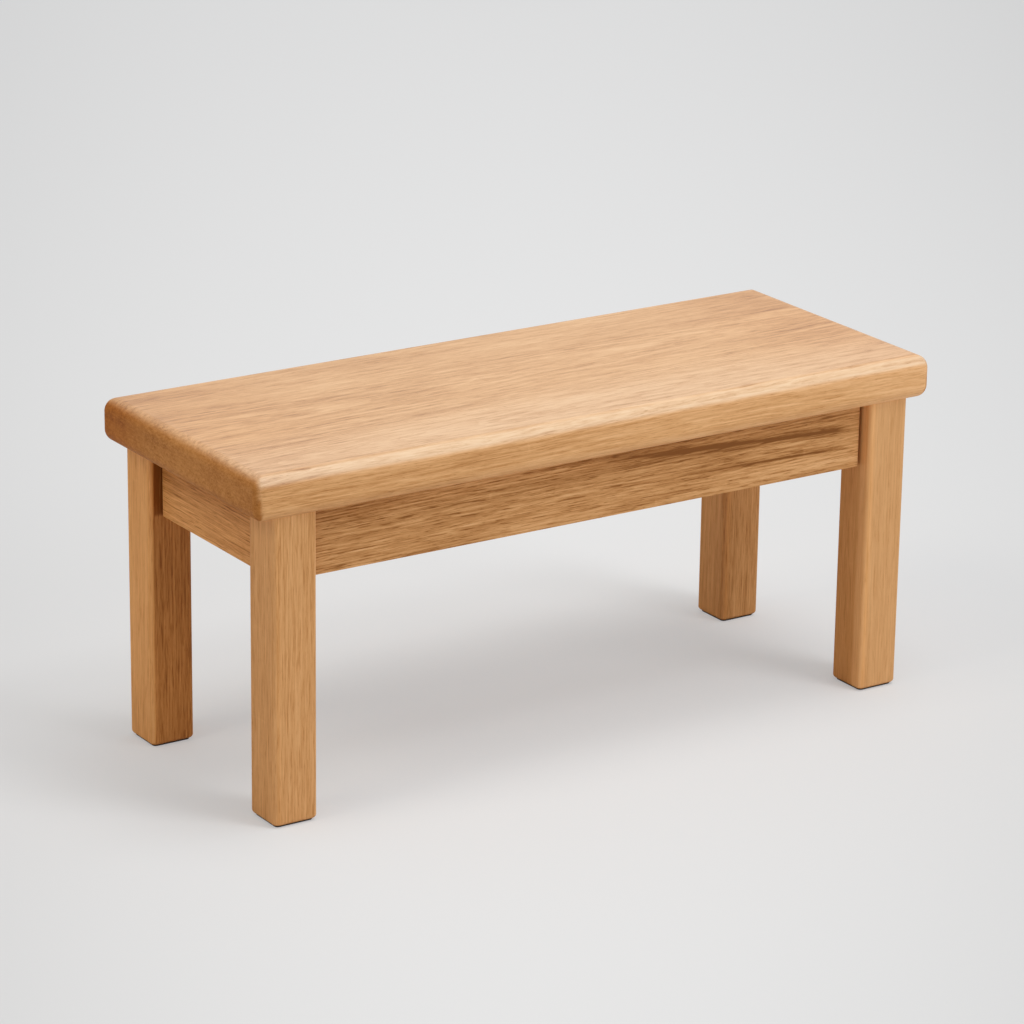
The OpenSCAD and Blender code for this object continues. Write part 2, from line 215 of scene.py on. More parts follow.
def oak(name, grain, pith, lean, ring, seed, tone=0.0, warmth=0.0, contrast=1.0,
        streaks=(), painted_light_changes=(), seat=0.0):
    """Oiled oak with growth rings round a pith line, fibres, pores and rubbed edges with a little painted
    highlight.

    pith is where that line crosses the middle of the piece, across the grain, in millimetres,
    lean its slope on the way along the grain, and ring the growth ring's width in millimetres.
    A streak is (place across, slope, width, start, end, strength), in millimetres.
    A painted light change is painted shade or painted light on part of the piece: (limits, darker, warmer). A
    limit is (axis, start, end), in millimetres, with axis 0 along the grain and 1 and 2 across it: the change
    comes in from start to end of all its limits.
    seat is 1 for the boards that are sat on: a fuller lacquer on top, a painted sheen and painted highlight,
    painted shade on the ends, and the top darker towards its ends.
    """
    paint = Finish(name)
    point, normal = turned_to_grain(paint, grain)
    along, across, over = paint.split(point)

    # The trunk isn't quite straight or round
    bow = paint.noise(point, (1.1, 4.0, 4.0), seed, 1.0) * 0.030
    sway = paint.noise(point, (4.5, 20.0, 20.0), seed + 5.3, 2.0) * 0.006
    wave = paint.noise(point, (22.0, 110.0, 110.0), seed + 9.1, 2.0) * 0.0012

    side = across - pith[0] * MM - along * lean[0]
    deep = over - pith[1] * MM - along * lean[1]
    radius = (side * side + deep * deep).root() + bow + sway + wave
    years = radius / (ring * MM)
    uneven = paint.add("ShaderNodeTexNoise", {"noise_dimensions": "1D"}, {"W": years * 0.55, "Detail": 2.0})
    years = years + uneven * 1.5
    season = years.fraction()
    early = season.rise(0.0, 0.14) * season.rise(0.30, 0.95, 1.0, 0.0)

    # Ends of the fibres drink more oil and show darker, with fainter rings. On the seat the same darkening is
    # also laid round its lower edges and lower corners, where it is painted shade
    nx, ny, nz = paint.split(normal)
    ends = abs(nx).rise(0.30, 0.90)
    if seat:
        painted_under_shade = nz.rise(-0.40, -0.10, 1.0, 0.0) * abs(nx).rise(0.10, 0.45)
        corner = abs(ny).rise(0.15, 0.45) * abs(nx).rise(0.25, 0.60) * over.rise(0.418, 0.432, 1.0, 0.0)
        ends = ends.most(painted_under_shade).most(corner)

    # Bands of tone, fibres, short dark strokes and pores. A seat's figure is broader across
    broad = 1.0 - 0.45 * seat
    cloud = paint.noise(point, (2.4, 11.0, 11.0), seed + 2.2, 2.0)
    band = paint.noise(point, (5.0, 90.0 * broad, 90.0), seed + 3.7, 2.0)
    figure = paint.noise(point, (8.0, 250.0 * broad, 250.0), seed + 8.2, 2.0, 0.6)
    fibre = paint.noise(point, (20.0, 400.0 * broad, 400.0), seed + 6.1, 3.0, 0.6)
    stroke = paint.noise(point, (30.0, 460.0 * broad, 460.0), seed + 1.6, 2.0, 0.55).rise(0.02, 0.20)
    thread = paint.noise(point, (60.0, 1300.0, 1300.0), seed + 7.9, 2.0)
    pits = paint.noise(point, (110.0, 1500.0, 1500.0), seed + 8.8, 1.0)
    pore = pits.rise(0.11, 0.24) * (0.30 + early * 0.70)
    speck = paint.noise(point, (260.0, 80.0, 380.0), seed + 2.9, 2.0, 0.6) * ends

    # Medullary rays are short pale flecks that lie flat across the rings
    fleck = paint.noise(point, (95.0, 260.0, 42.0), seed + 4.4, 1.0).rise(0.17, 0.30)

    change = band * 0.40 + figure * 0.60 + fibre * 0.85 + thread * 0.45 + cloud * 0.42 + speck * 0.60
    change = change - early * 0.16 * (1.0 - ends * 0.6) - pore * 0.30 + fleck * 0.08
    change = change - stroke * (0.32 - ends * 0.12) * (1.0 - 0.4 * seat) + thread * 0.15 * seat

    # The top is painted paler as a painted sheen, lightest at its front as a painted highlight. Its ends get
    # painted shade towards the back and round their lower edges and corners, with a darker band below their
    # upper edge, and the top is darker towards its ends
    above = paint.split(paint.normal)[2].rise(0.05, 0.62) * (1.0 - ends)
    if seat:
        contrast = contrast * (0.84 + above * 0.16)
        # The top is darker and warmer towards its ends
        darker_top_ends = abs(along).rise(0.22, 0.50) * above
        # Painted highlight along the front strip of the top
        front_highlight = across.rise(-0.16, -0.03, 1.0, 0.0) * above
        # Painted shade: the ends darker and warmer towards the back
        painted_back_shade = across.rise(0.06, 0.19) * ends
        # Painted light: the sides, and less so the top, grow lighter towards the right end; the painted
        # highlight lightens the front of the top
        tone = tone + 0.04 + along * (0.20 - above * 0.12) - above * 0.05 - darker_top_ends * 0.14 + front_highlight * 0.06
        # The ends are a little lighter from their front to their middle; painted shade darkens their lower
        # edges and lower corners; a darker band runs below their upper edge, stronger towards the back
        tone = tone - painted_back_shade * 0.14 + ends * across.rise(-0.19, 0.0, 0.01, 0.065)
        tone = tone - painted_under_shade * 0.11 - corner * 0.07
        tone = tone - over.bell(0.430, 0.008) * ends * across.rise(-0.19, 0.19, 0.02, 0.15)
        warmth = warmth + darker_top_ends * 0.40 + above * 0.10 + painted_back_shade * 0.75
    light = 0.62 + tone + (change + 0.13) * contrast
    warm = 0.06 + warmth
    # Painted shade or painted light on parts of the piece
    for limits, darker, warmer in painted_light_changes:
        near = 1.0
        for axis, start, end in limits:
            step = (along, across, over)[axis].rise(min(start, end) * MM, max(start, end) * MM)
            near = (step if end > start else 1.0 - step) * near
        light = light - near * darker
        warm = warm + near * warmer
    for place, slope, width, start, end, strength in streaks:
        height = over * 1000.0 - along * 1000.0 * slope + (bow + sway * 1.5 + wave * 2.0) * 260.0
        reach = along.rise(start * MM, (start + 140) * MM) * along.rise((end - 40) * MM, end * MM, 1.0, 0.0)
        line = height.bell(place, width)
        light = light - line * line * reach * strength * (1.0 + fibre * 1.6)

    wood = paint.add("ShaderNodeValToRGB", {"stops": OAK_TONES}, {0: light})
    # Warmer oil colour, which also carries the warmth given to painted shade and painted light
    wood = paint.mix(warm, wood, paint.mix(1.0, wood, OIL_AND_SHADE_WARMTH, "MULTIPLY"))
    # End grain colour, which on the seat also paints the shade on its lower edges and lower corners
    wood = paint.mix(ends, wood, paint.mix(1.0, wood, END_GRAIN_AND_SHADE, "MULTIPLY"))

    # Rounded edges are rubbed a little smoother, and paler partly from wear and partly as a painted highlight
    flat = abs(nx).most(abs(ny)).most(abs(nz))
    edge = flat.rise(0.86, 0.985, 1.0, 0.0) * (1.0 - ends)
    wood = paint.mix(edge * 0.06, wood, EDGE_WEAR_AND_HIGHLIGHT)
    coat = None
    # On the seat a painted sheen pales the top, and a painted highlight pales the front edge and the front
    # strip; the lacquer coat lies on top
    if seat:
        edge_highlight = edge * abs(ny).rise(0.1, 0.4)
        by_grain = 1.0 + change * 1.2
        wood = paint.mix(above * (edge_highlight * 0.22 + 0.22) * by_grain, wood, SEAT_PAINTED_SHEEN)
        wood = paint.mix((front_highlight * 0.16 + above * edge_highlight * 0.10) * by_grain, wood, SEAT_PAINTED_HIGHLIGHT)
        coat = above * 0.60

    roughness = 0.52 + pore * 0.14 + fibre * 0.10 + ends * 0.12 - edge * 0.06 + cloud * 0.05
    height = 0.5 - pore * 0.45 - stroke * 0.10 + fibre * 0.20 - early * 0.10 + fleck * 0.05
    return paint.wire(wood, roughness, height, 0.00025, 0.35, specular=0.12, coat=coat)


def beech(name, grain, seed, tone=0.0):
    """Bare planed beech: pale pinkish wood with a dense scatter of short brown ray flecks."""
    paint = Finish(name)
    point, normal = turned_to_grain(paint, grain)
    bow = paint.noise(point, (3.0, 14.0, 14.0), seed, 1.0) * 0.012
    along, across, over = paint.split(point)
    years = (across * 0.8 + over * 0.6 + bow) / (2.6 * MM)
    season = years.fraction().rise(0.0, 0.9)
    cloud = paint.noise(point, (6.0, 30.0, 30.0), seed + 1.9, 2.0)
    fibre = paint.noise(point, (60.0, 700.0, 700.0), seed + 3.3, 3.0, 0.6)
    dash = paint.noise(point, (240.0, 1500.0, 620.0), seed + 5.7, 1.0).rise(0.14, 0.26)
    ends = abs(paint.split(normal)[0]).rise(0.45, 0.95)
    light = 0.58 + tone + cloud * 0.45 + fibre * 0.55 - season * 0.14 - dash * 0.30 - ends * 0.16
    wood = paint.add("ShaderNodeValToRGB", {"stops": [
        (0.0, (0.290, 0.140, 0.065)),
        (0.5, (0.560, 0.350, 0.200)),
        (1.0, (0.760, 0.550, 0.370)),
    ]}, {0: light})
    roughness = 0.60 + fibre * 0.12 + ends * 0.10
    return paint.wire(wood, roughness, 0.5 - dash * 0.3 + fibre * 0.5, 0.00025, 0.5)


def felt(name):
    """Dense dark needle felt: tangled fibres with a few pale ones and a slightly fuzzy surface."""
    paint = Finish(name)
    bend = paint.noise(paint.point, (500.0, 500.0, 500.0), 1.2, 2.0) * 0.001
    twisted = paint.vector("ADD", paint.point, paint.join(bend, 0.0 - bend, bend))
    tangle = paint.noise(paint.point, (2600.0, 2600.0, 1300.0), 4.0, 3.0, 0.7)
    cross = paint.noise(twisted, (900.0, 3400.0, 1800.0), 7.0, 2.0)
    patch = paint.noise(paint.point, (90.0, 90.0, 90.0), 2.0, 2.0)
    light = 0.45 + tangle * 0.8 + cross * 0.6 + patch * 0.5
    cloth = paint.add("ShaderNodeValToRGB", {"stops": [
        (0.0, (0.010, 0.008, 0.007)),
        (0.6, (0.045, 0.034, 0.027)),
        (1.0, (0.130, 0.105, 0.085)),
    ]}, {0: light})
    return paint.wire(cloth, 0.90 + patch * 0.1, tangle + cross, 0.0005, 0.9)


def zinc(name):
    """Zinc plate on steel: pale grey metal, faintly mottled, duller in the hollows."""
    paint = Finish(name)
    mottle = paint.noise(paint.point, (700.0, 700.0, 700.0), 3.0, 3.0, 0.6)
    drawn = paint.noise(paint.point, (150.0, 150.0, 4200.0), 6.0, 2.0)
    patch = paint.noise(paint.point, (160.0, 160.0, 160.0), 9.0, 2.0)
    plate = paint.mix(0.5 + patch * 1.4, colour(0.55, 0.58, 0.62), colour(0.70, 0.67, 0.60))
    plate = paint.mix(mottle.rise(-0.2, 0.3) * 0.35, plate, colour(0.40, 0.41, 0.43))
    roughness = 0.34 + mottle * 0.22 + drawn * 0.12
    return paint.wire(plate, roughness, mottle + drawn * 0.6, 0.00008, 0.5, metallic=1.0)


# Solids in mesh code, in millimetres

RINGS_PER_PITCH = 6


def finished(name, shape):
    """A new object from a bmesh in millimetres. Its mesh is in metres, and the object stays at the origin."""
    bmesh.ops.remove_doubles(shape, verts=shape.verts, dist=0.001)
    bmesh.ops.recalc_face_normals(shape, faces=shape.faces)
    bmesh.ops.scale(shape, vec=(MM, MM, MM), verts=shape.verts)
    mesh = bpy.data.meshes.new(name)
    shape.to_mesh(mesh)
    shape.free()
    made = bpy.data.objects.new(name, mesh)
    bpy.context.scene.collection.objects.link(made)
    return made


def settle(made):
    """Makes the result of an object's modifiers its plain mesh."""
    bpy.context.view_layer.update()
    whole = made.evaluated_get(bpy.context.evaluated_depsgraph_get())
    mesh = bpy.data.meshes.new_from_object(whole)
    made.modifiers.clear()
    made.data = mesh
    return made


def discard(*objects):
    for unused in objects:
        bpy.data.objects.remove(unused)


def cut_from(made, tool, operation="DIFFERENCE"):
    """Cuts the tool's shape out of an object, or joins the two another way, and removes the tool."""
    cut = made.modifiers.new("cut", "BOOLEAN")
    cut.operation = operation
    cut.solver = "EXACT"
    cut.object = tool
    settle(made)
    discard(tool)
    return made


def smooth(made, angle=32):
    """Smooth shading that keeps flat faces flat and edges sharper than the angle crisp."""
    made.data.polygons.foreach_set("use_smooth", [True] * len(made.data.polygons))
    made.data.set_sharp_from_angle(angle=math.radians(angle))
    normals = made.modifiers.new("normals", "WEIGHTED_NORMAL")
    normals.keep_sharp = True
    return settle(made)


def cap(shape, rings):
    """Closes the first and the last ring of corners with a face."""
    shape.faces.new(rings[0][::-1])
    shape.faces.new(rings[-1])


def skin(shape, rings):
    """Joins each ring of corners to the next with a band of faces."""
    count = len(rings[0])
    for first, second in zip(rings, rings[1:]):
        for i in range(count):
            j = (i + 1) % count
            shape.faces.new((first[i], first[j], second[j], second[i]))


def round_point(radius, i, sides):
    """One of the corners of a circle about the origin, as (x, y)."""
    angle = math.tau * i / sides
    return radius * math.cos(angle), radius * math.sin(angle)


def prism(shape, outline, low, high, place=lambda x, y, z: (x, y, z)):
    """Adds an upright solid over an outline of (x, y). place turns each corner into its final point."""
    rings = [[shape.verts.new(place(x, y, z)) for x, y in outline] for z in (low, high)]
    cap(shape, rings)
    skin(shape, rings)


def drill_bit(shape, start, aim, radius, length, sides=48):
    """Adds a cylinder that starts at a point and runs along aim."""
    aim = Vector(aim).normalized()
    turn = aim.to_track_quat("Z", "Y").to_matrix().to_4x4()
    middle = Vector(start) + aim * length / 2
    bmesh.ops.create_cone(shape, cap_ends=True, segments=sides, radius1=radius, radius2=radius,
                          depth=length, matrix=Matrix.Translation(middle) @ turn)


def box_bit(shape, low, high):
    outline = [(low[0], low[1]), (high[0], low[1]), (high[0], high[1]), (low[0], high[1])]
    prism(shape, outline, low[2], high[2])


def ease(shape, width, steps, chosen):
    """Rounds the edges whose two ends pass the test chosen(first, second)."""
    edges = [e for e in shape.edges if chosen(e.verts[0].co, e.verts[1].co)]
    bmesh.ops.bevel(shape, geom=edges, offset=width, segments=steps, profile=0.5,
                    affect="EDGES", clamp_overlap=True)


def turned(name, outline, sides, thread=(0, 0, math.inf, 0)):
    """Lathe-turned solid along +Z from an outline of (radius, height), which starts and ends at radius 0.

    A thread is (start, end, pitch, depth): the outline's radius is its crest, and it runs out at both ends.
    """
    start, end, pitch, depth = thread
    stations = [outline[0]]
    for (r0, z0), (r1, z1) in zip(outline, outline[1:]):
        if z1 - z0 > pitch and r0 > 0 and r1 > 0:
            steps = math.ceil((z1 - z0) / pitch * RINGS_PER_PITCH)
            stations += [(r0 + (r1 - r0) * k / steps, z0 + (z1 - z0) * k / steps) for k in range(1, steps)]
        stations.append((r1, z1))
    shape = bmesh.new()
    rings = []
    for radius, z in stations:
        ring = []
        for i in range(sides):
            r = radius
            if start < z < end and radius > depth:
                fade = min(1.0, (z - start) / pitch, (end - z) / pitch)
                turn = (z / pitch - i / sides) % 1.0
                r -= depth * fade * (1.0 - abs(2.0 * turn - 1.0))
            ring.append(shape.verts.new((*round_point(r, i, sides), z)))
        rings.append(ring)
    skin(shape, rings)
    return finished(name, shape)


# Geometry trees

class Shape(Tree):
    """One Geometry Nodes tree with named inputs. It ends in Realize Instances and Set Material."""

    def __init__(self, name, inputs):
        tree = bpy.data.node_groups.new(name, "GeometryNodeTree")
        super().__init__(tree)
        tree.interface.new_socket("Geometry", in_out="INPUT", socket_type="NodeSocketGeometry")
        self.identifiers = {}
        for label, kind in {**inputs, "Material": "Material"}.items():
            socket = tree.interface.new_socket(label, in_out="INPUT", socket_type="NodeSocket" + kind)
            self.identifiers[label] = socket.identifier
        tree.interface.new_socket("Geometry", in_out="OUTPUT", socket_type="NodeSocketGeometry")
        group = self.nodes.nodes.new("NodeGroupInput")
        self.given = {socket.name: Num(self, socket) for socket in group.outputs if socket.name}

    def end(self, geometry):
        whole = self.add("GeometryNodeRealizeInstances", None, {"Geometry": geometry})
        painted = self.add("GeometryNodeSetMaterial", None, {
            "Geometry": whole, "Material": self.given["Material"]})
        output = self.nodes.nodes.new("NodeGroupOutput")
        self.nodes.links.new(painted.socket, output.inputs[0])

    def grow(self, made, material, **values):
        """Runs the tree on an object and keeps the result as its plain mesh."""
        grown = made.modifiers.new("grown", "NODES")
        grown.node_group = self.nodes
        for label, value in {**values, "Material": material}.items():
            grown[self.identifiers[label.replace("_", " ")]] = value
        return settle(made)


def leg_tree():
    """A square post with rounded long edges and an eased foot, less the cuts that come in as geometry."""
    tree = Shape("square_leg", {
        "Side": "Float", "Height": "Float", "Edge Radius": "Float", "Foot Radius": "Float",
        "Edge Steps": "Int", "Foot Steps": "Int", "Place": "Vector"})
    side, height = tree.given["Side"], tree.given["Height"]
    foot, steps = tree.given["Foot Radius"], tree.given["Foot Steps"]
    square = tree.add("GeometryNodeCurvePrimitiveQuadrilateral", None, {"Width": side, "Height": side})
    section = tree.add("GeometryNodeFilletCurve", {"mode": "POLY"}, {
        "Curve": square, "Count": tree.given["Edge Steps"], "Radius": tree.given["Edge Radius"]})
    line = tree.add("GeometryNodeCurvePrimitiveLine", None, {"End": tree.join(0.0, 0.0, height)})
    line = tree.add("GeometryNodeResampleCurve", {"mode": "COUNT"}, {"Curve": line, "Count": steps + 2.0})
    index = tree.add("GeometryNodeInputIndex")
    turn = (index / steps).least(1.0) * (math.pi / 2)
    last = index.exceeds(steps)
    rise = foot * (1.0 - turn.cosine()) * (1.0 - last) + height * last
    line = tree.add("GeometryNodeSetPosition", None, {
        "Geometry": line, "Position": tree.join(0.0, 0.0, rise)})
    scale = 1.0 - foot * (1.0 - turn.sine()) / (side * 0.5)
    post = tree.add("GeometryNodeCurveToMesh", None, {
        "Curve": line, "Profile Curve": section, "Scale": scale, "Fill Caps": True})
    post = tree.add("GeometryNodeTransform", None, {"Geometry": post, "Translation": tree.given["Place"]})
    post = tree.add("GeometryNodeMeshBoolean", {"operation": "DIFFERENCE", "solver": "EXACT"}, {
        0: post, 1: tree.given["Geometry"], "Self Intersection": True})
    tree.end(post)
    return tree


def fastener_tree():
    """Puts one fastener on each point, aimed along the point's own direction and turned by chance."""
    tree = Shape("fasteners_in_place", {"Fastener": "Object", "Seed": "Int"})
    fastener = tree.add("GeometryNodeObjectInfo", None, {"Object": tree.given["Fastener"]}, 4)
    aim = tree.add("GeometryNodeInputNamedAttribute", {"data_type": "FLOAT_VECTOR"}, {"Name": "aim"})
    facing = tree.add("FunctionNodeAlignRotationToVector", {"axis": "Z"}, {"Vector": aim})
    chance = tree.add("FunctionNodeRandomValue", {"data_type": "FLOAT"}, {
        2: 0.0, 3: math.tau, "Seed": tree.given["Seed"]}, 1)
    spin = tree.add("FunctionNodeAxisAngleToRotation", None, {"Axis": (0.0, 0.0, 1.0), "Angle": chance})
    facing = tree.add("FunctionNodeRotateRotation", {"rotation_space": "LOCAL"}, {
        "Rotation": facing, "Rotate By": spin})
    placed = tree.add("GeometryNodeInstanceOnPoints", None, {
        "Points": tree.given["Geometry"], "Instance": fastener, "Rotation": facing})
    tree.end(placed)
    return tree


def placed_fasteners(name, tree, fastener, places, material, seed):
    """One mesh with a copy of the fastener at each (point, aim)."""
    mesh = bpy.data.meshes.new(name)
    mesh.from_pydata([Vector(point) * MM for point, _ in places], [], [])
    aims = mesh.attributes.new("aim", "FLOAT_VECTOR", "POINT")
    for row, (_, aim) in zip(aims.data, places):
        row.vector = Vector(aim).normalized()
    made = bpy.data.objects.new(name, mesh)
    bpy.context.scene.collection.objects.link(made)
    tree.grow(made, material, Fastener=fastener, Seed=seed)
    discard(fastener)
    return made


# Places of the CAD part's pieces, in millimetres

def corners(node):
    low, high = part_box(node)
    return [v / MM for v in low], [v / MM for v in high]


LEG_NODES = {(-1, -1): "front_left", (1, -1): "front_right", (-1, 1): "rear_left", (1, 1): "rear_right"}

seat_low = corners("seat_board_front")[0]
seat_high = corners("seat_board_rear")[1]
seat_joints = (corners("seat_board_front")[1][1], corners("seat_board_rear")[0][1])
leg_low, leg_high = corners("rear_right_leg")
rail_low, rail_high = corners("rear_apron")
end_low, end_high = corners("right_apron")

SEAT_Z = seat_low[2]
SEAT_T = seat_high[2] - seat_low[2]
LEG_IN = (leg_low[0], leg_low[1])
LEG_OUT = (leg_high[0], leg_high[1])
RAIL_IN, RAIL_OUT = rail_low[1], rail_high[1]
END_IN, END_OUT = end_low[0], end_high[0]
RAIL_Z = rail_low[2]
JOINT_Z = (rail_low[2] + rail_high[2]) / 2

# A leg's inner edge in the measures of at_corner
LEG_EDGE = (END_IN - LEG_IN[0], RAIL_IN - LEG_IN[1])
DIAGONAL = math.sqrt(0.5)

# Sizes that the boxes of the pieces don't give
SEAT_TOP_R, SEAT_BOTTOM_R, SEAT_CORNER_R = 17.5, 16.5, 12.0
LEG_EDGE_R, LEG_FOOT_R, LEG_FLAT = 6.0, 5.0, 12.0
REVEAL_W, REVEAL_DEPTH = 5.0, 7.0
DOWEL_R, DOWEL_HALF, DOWEL_INSET = 5.0, 20.0, 14.5
DOWEL_RISE_LONG, DOWEL_RISE_SHORT = 24.6, 11.8
BRACE_HALF_H, BRACE_NEAR, BRACE_FAR, BRACE_TIP = 33.0, 39.76, 79.36, 4.0
BRACE_SCREW_REACH, BRACE_SCREW_RISE, BRACE_UNDER_HEAD = 47.55, 22.5, 12.0
BOLT_R, BOLT_FROM, BOLT_TO, WASHER_AT, NUT_AT = 4.0, -42.0, 38.1, 25.0, 26.6
BUTTON_SPACING, BUTTON_REACH, BUTTON_HALF_W, BUTTON_H = 270.0, 30.0, 19.0, 23.0
TONGUE_REACH, TONGUE_LOW, TONGUE_HIGH, BUTTON_POCKET = 8.0, 371.0, 381.0, 5.0
PILOT_R, PILOT_DEPTH, PILOT_SIDES, COUNTERBORE_R = 2.35, 18.5, 24, 5.25
PLAY = 0.1

# A leg's top is scribed to the seat's rounded lower edge, which starts inside the leg's outer face
LEG_SCRIBE = 1.8


def at_corner(sx, sy, u, v, w):
    """A point of a corner's fittings: u along the long apron, v along the short one, w up."""
    return (sx * (END_IN - u), sy * (RAIL_IN - v), JOINT_Z + w)


def corner_aim(sx, sy, u, v):
    return (-sx * u, -sy * v, 0.0)


def bolt_point(sx, sy, reach):
    """A point on a hanger bolt's line, by its distance from the leg's inner edge."""
    return at_corner(sx, sy, LEG_EDGE[0] + reach * DIAGONAL, LEG_EDGE[1] + reach * DIAGONAL, 0)


def brace_screws(sx, sy):
    for rise in (-BRACE_SCREW_RISE, BRACE_SCREW_RISE):
        yield at_corner(sx, sy, BRACE_SCREW_REACH, BRACE_UNDER_HEAD, rise), corner_aim(sx, sy, 0, -1)
        yield at_corner(sx, sy, BRACE_UNDER_HEAD, BRACE_SCREW_REACH, rise), corner_aim(sx, sy, -1, 0)


def long_dowels(sx, sy):
    for rise in (-DOWEL_RISE_LONG, DOWEL_RISE_LONG):
        yield (sx * LEG_IN[0], sy * (RAIL_OUT - DOWEL_INSET), JOINT_Z + rise), (sx, 0, 0)


def short_dowels(sx, sy):
    for rise in (-DOWEL_RISE_SHORT, DOWEL_RISE_SHORT):
        yield (sx * (END_OUT - DOWEL_INSET), sy * LEG_IN[1], JOINT_Z + rise), (0, sy, 0)


def button_places():
    """Each top button's node, the point on its apron's inner face, and the way that it reaches."""
    for sy, row in ((-1, "front"), (1, "rear")):
        for place, part in ((-1, "left"), (0, "middle"), (1, "right")):
            yield f"{row}_{part}_top_button", (place * BUTTON_SPACING, sy * RAIL_IN), (0, -sy)
    for sx, part in ((-1, "left"), (1, "right")):
        yield f"{part}_end_top_button", (sx * END_IN, 0.0), (-sx, 0)


def button_point(place, reach, out, across, z):
    """A point of a top button: out from its apron, across it, and up."""
    return (place[0] + reach[0] * out - reach[1] * across, place[1] + reach[1] * out + reach[0] * across, z)


def back_of(point, aim, distance):
    return tuple(p - a * distance for p, a in zip(point, aim))


def opposite(aim):
    return [-a for a in aim]


def dowel_bit(shape, point, aim):
    """Adds the drill for half a dowel, aimed into the wood from a point on the joint."""
    drill_bit(shape, back_of(point, aim, 1), aim, DOWEL_R + PLAY, DOWEL_HALF + 1.5)


def pilot_bit(shape, start, aim, length=PILOT_DEPTH):
    """Adds the drill for a wood screw's shank."""
    drill_bit(shape, start, aim, PILOT_R, length, PILOT_SIDES)


# The wooden pieces

def rounded_outline(half_x, half_y, radius, arc_steps, stops_x=1, stops_y=1):
    """Rounded rectangle about the origin, anticlockwise. Its sides are cut into stops_x and stops_y parts."""
    arcs = []
    for quarter, (sx, sy) in enumerate(((1, 1), (-1, 1), (-1, -1), (1, -1))):
        arc = []
        for k in range(arc_steps + 1):
            angle = (quarter + k / arc_steps) * math.pi / 2
            x = sx * (half_x - radius) + radius * math.cos(angle)
            arc.append((x, sy * (half_y - radius) + radius * math.sin(angle)))
        arcs.append(arc)
    points = []
    for quarter, arc in enumerate(arcs):
        (x0, y0), (x1, y1) = arc[-1], arcs[(quarter + 1) % 4][0]
        stops = (stops_x, stops_y)[quarter % 2]
        points += arc
        points += [(x0 + (x1 - x0) * k / stops, y0 + (y1 - y0) * k / stops) for k in range(1, stops)]
    return points


def seat_blank(shape):
    """The whole seat as one solid: rounded over above and below, with corners softened by hand."""
    steps = 11
    layers = []
    for k in range(steps + 1):
        angle = math.pi / 2 * (1 - k / steps)
        inset, rise = SEAT_BOTTOM_R * (1 - math.cos(angle)), SEAT_BOTTOM_R * (1 - math.sin(angle))
        layers.append((inset, rise, angle))
    for k in range(steps + 1):
        angle = math.pi / 2 * k / steps
        inset, fall = SEAT_TOP_R * (1 - math.cos(angle)), SEAT_TOP_R * (1 - math.sin(angle))
        layers.append((inset, SEAT_T - fall, angle))
    least, spread = 2.5, 1.6
    deepest_rub = 0.15
    rings = []
    for inset, rise, angle in layers:
        radius = least + spread * math.log1p(math.exp((SEAT_CORNER_R - inset - least) / spread))
        ring = []
        for x, y in rounded_outline(seat_high[0] - inset, seat_high[1] - inset, radius, 9, 46, 18):
            # Hand sanding leaves the rounded edges a hair uneven, always inwards
            uneven = 0.5 + 0.5 * noise.noise(Vector((x / 140, y / 140, rise / 40)))
            rub = deepest_rub * math.sin(2 * angle) * uneven
            shift = 1 - rub / math.hypot(x, y) if rub > 0 else 1
            ring.append(shape.verts.new((x * shift, y * shift, SEAT_Z + rise)))
        rings.append(ring)
    skin(shape, rings)
    cap(shape, rings)


def seat_board(name, low_y, high_y):
    """The part of the seat between two glue lines, with the pilot holes of the button screws."""
    shape = bmesh.new()
    seat_blank(shape)
    for place, aim in ((low_y, -1), (high_y, 1)):
        if abs(place) < seat_high[1] - 1:
            everything = shape.verts[:] + shape.edges[:] + shape.faces[:]
            bmesh.ops.bisect_plane(shape, geom=everything, plane_co=(0, place, 0),
                                   plane_no=(0, aim, 0), clear_outer=True)
            rim = [e for e in shape.edges if e.is_boundary]
            bmesh.ops.holes_fill(shape, edges=rim, sides=0)
    board = finished(name, shape)
    pilots = bmesh.new()
    for _, place, reach in button_places():
        point = button_point(place, reach, BUTTON_REACH / 2, 0, SEAT_Z - 1)
        if low_y < point[1] < high_y:
            pilot_bit(pilots, point, (0, 0, 1))
    tool = finished("pilots", pilots)
    return smooth(cut_from(board, tool))


def leg_cuts(sx, sy):
    """The dowel holes, the bolt hole and the flat on the inner edge, to be cut from a leg."""
    cuts = bmesh.new()
    for point, aim in (*long_dowels(sx, sy), *short_dowels(sx, sy)):
        dowel_bit(cuts, point, aim)
    into = corner_aim(sx, sy, -1, -1)
    drill_bit(cuts, bolt_point(sx, sy, 0), into, BOLT_R + PLAY, -BOLT_FROM + 0.5)
    half = LEG_FLAT / 2
    clear = 30
    outline = [(-half, -clear), (-half, clear), (clear, clear), (clear, -clear)]

    def turn(out, across, z):
        u = LEG_EDGE[0] + (out - across) * DIAGONAL
        v = LEG_EDGE[1] + (out + across) * DIAGONAL
        return at_corner(sx, sy, u, v, z)

    prism(cuts, outline, RAIL_Z - 1 - JOINT_Z, SEAT_Z + 1 - JOINT_Z, turn)
    return finished("leg_cuts", cuts)


